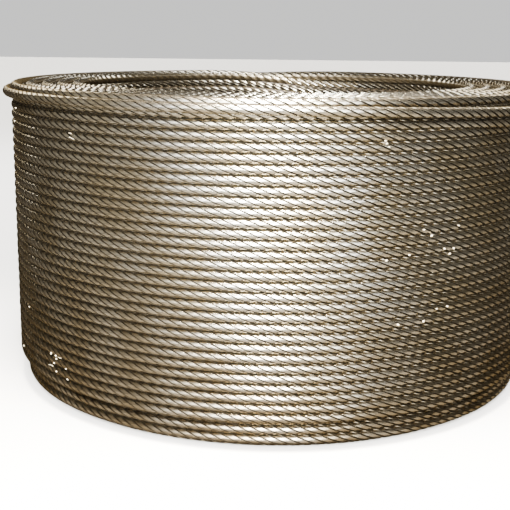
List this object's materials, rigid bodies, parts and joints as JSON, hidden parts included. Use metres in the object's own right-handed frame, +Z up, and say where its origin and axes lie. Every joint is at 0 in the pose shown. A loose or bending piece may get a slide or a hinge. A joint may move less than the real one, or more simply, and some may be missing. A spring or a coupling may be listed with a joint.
{
  "type": "coil of wire rope",
  "caption": "Free-standing coil of steel wire rope in nested layers round an open bore, its last layers stepped at both ends.",
  "frame": {"origin": "centre of the bore at the lower end, on the plane that the coil stands on", "axes": "+Z up along the axis of the bore; the pictured side faces -Y"},
  "size_m": [0.6258, 0.6258, 0.34],
  "materials": {
    "wire_rope": "drawn steel wire in six right-hand strands, dull warm grey with a tan film of grease and near-black grooves"
  },
  "bodies": {
    "root": {"wire_rope_coil": "wire_rope"}
  },
  "joints": []
}
